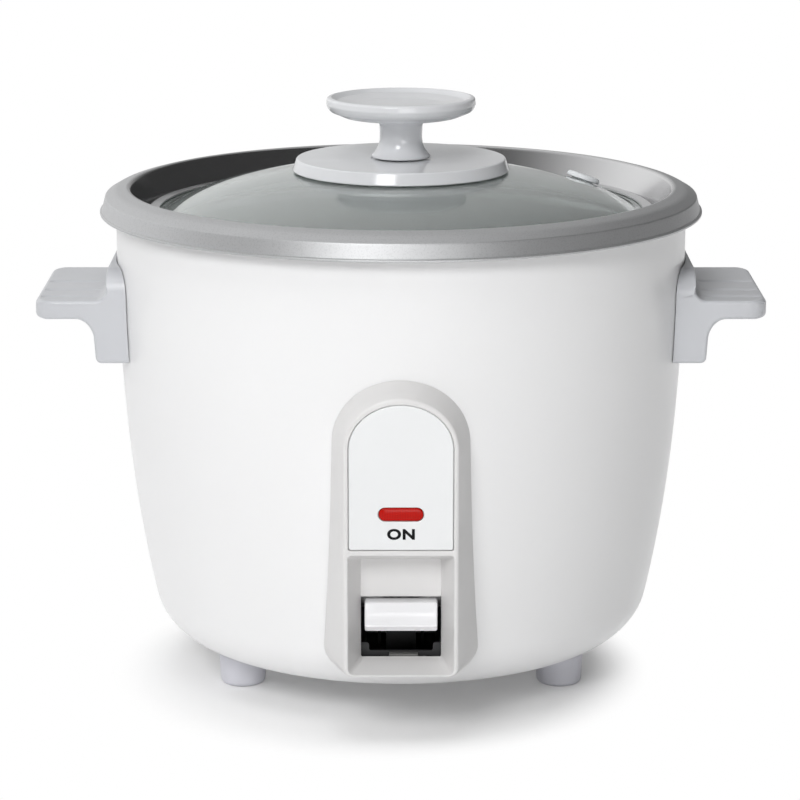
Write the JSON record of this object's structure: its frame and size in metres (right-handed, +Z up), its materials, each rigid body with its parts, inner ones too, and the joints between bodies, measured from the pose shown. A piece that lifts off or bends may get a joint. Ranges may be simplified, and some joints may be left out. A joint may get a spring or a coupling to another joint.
{
  "type": "rice cooker",
  "caption": "Round electric rice cooker with a wide-rimmed lift-out pan, domed glass lid, side handles and a press-down switch.",
  "frame": {"origin": "on the body's axis, on the surface that the feet stand on", "axes": "+Z up, the switch faces -Y, the power inlet faces +Y and the handles stand out along X"},
  "size_m": [0.2746, 0.236, 0.221],
  "materials": {
    "white_paint": "gloss",
    "pan_coating": "satin",
    "clear_glass": "polished",
    "bright_steel": "brushed",
    "cast_aluminium": "satin",
    "pale_gray_plastic": "satin",
    "knob_plastic": "gloss",
    "housing_plastic": "satin",
    "face_plastic": "gloss",
    "tab_plastic": "gloss",
    "red_lens": "gloss",
    "lamp_glass": "polished",
    "black_plastic": "matte",
    "dark_ferrite": "matte",
    "pin_brass": "polished",
    "lead_sleeve": "matte",
    "vent_rubber": "satin"
  },
  "bodies": {
    "cooker": {"outer_body": "white_paint", "bottom_plate": "bright_steel", "inner_case": "cast_aluminium", "top_ring": "pale_gray_plastic", "heating_plate": "cast_aluminium", "heating_element": "bright_steel", "sensor_housing": "bright_steel", "sensor_spring": "bright_steel", "magnet_spring": "bright_steel", "switch_housing": "housing_plastic", "face_plate": "face_plastic", "lamp_lens": "red_lens", "neon_lamp": "lamp_glass", "lamp_holder": "face_plastic", "lever_pivot_pin": "bright_steel", "switch_bracket": "bright_steel", "microswitch": "black_plastic", "inlet_housing": "black_plastic", "thermal_fuse": "bright_steel", "fuse_clip": "bright_steel", "lead_live": "lead_sleeve", "lead_fuse": "lead_sleeve", "lead_neutral": "lead_sleeve", "foot_front_left": "pale_gray_plastic", "foot_screw_front_left": "bright_steel", "foot_front_right": "pale_gray_plastic", "foot_screw_front_right": "bright_steel", "foot_rear": "pale_gray_plastic", "foot_screw_rear": "bright_steel", "heater_post_1": "bright_steel", "heater_post_2": "bright_steel", "heater_post_3": "bright_steel", "handle_left": "pale_gray_plastic", "handle_screw_left_front": "bright_steel", "handle_screw_left_rear": "bright_steel", "housing_screw_left": "bright_steel", "inlet_pin_left": "pin_brass", "inlet_screw_left": "bright_steel", "handle_right": "pale_gray_plastic", "handle_screw_right_front": "bright_steel", "handle_screw_right_rear": "bright_steel", "housing_screw_right": "bright_steel", "inlet_pin_right": "pin_brass", "inlet_screw_right": "bright_steel"},
    "pan": {"inner_pan": "pan_coating"},
    "lid": {"lid_glass": "clear_glass", "lid_band": "bright_steel", "steam_vent": "vent_rubber", "knob_flange": "knob_plastic", "knob_grip": "knob_plastic", "knob_washer": "knob_plastic", "knob_screw": "bright_steel"},
    "lever": {"lever_tab": "tab_plastic", "lever_arm": "bright_steel"},
    "thermostat_magnet": {"magnet": "dark_ferrite", "magnet_rod": "bright_steel"},
    "thermostat_sensor": {"sensor_cap": "cast_aluminium", "ferrite_disc": "dark_ferrite"},
    "micro_plunger": {"microswitch_plunger": "tab_plastic"}
  },
  "joints": [
    {"name": "pan_lift", "type": "slide", "parent": "cooker", "child": "pan", "axis": [0, 0, 1], "range_m": [0, 0.13]},
    {"name": "lid_lift", "type": "slide", "parent": "pan", "child": "lid", "axis": [0, 0, 1], "range_m": [0, 0.08]},
    {"name": "lever_press", "type": "hinge", "parent": "cooker", "child": "lever", "pos_m": [0, -0.036, 0.033], "axis": [1, 0, 0], "range_deg": [0, 6.2], "stiffness_Nm_per_rad": 0.3, "springref_deg": -11.46},
    {"name": "magnet_rise", "type": "slide", "parent": "cooker", "child": "thermostat_magnet", "axis": [0, 0, 1], "range_m": [0, 0.0041], "deforming": ["magnet_spring"]},
    {"name": "plunger_press", "type": "slide", "parent": "cooker", "child": "micro_plunger", "axis": [0, 0, -1], "range_m": [0, 0.0036]},
    {"name": "sensor_rise", "type": "slide", "parent": "cooker", "child": "thermostat_sensor", "axis": [0, 0, 1], "range_m": [0, 0.003], "deforming": ["sensor_spring"]}
  ],
  "couplings": [
    {"joint": "magnet_rise", "follows": "lever_press", "m_per_rad": 0.037},
    {"joint": "plunger_press", "follows": "lever_press", "m_per_rad": 0.032},
    {"joint": "sensor_rise", "follows": "pan_lift", "ratio": 0.023}
  ]
}
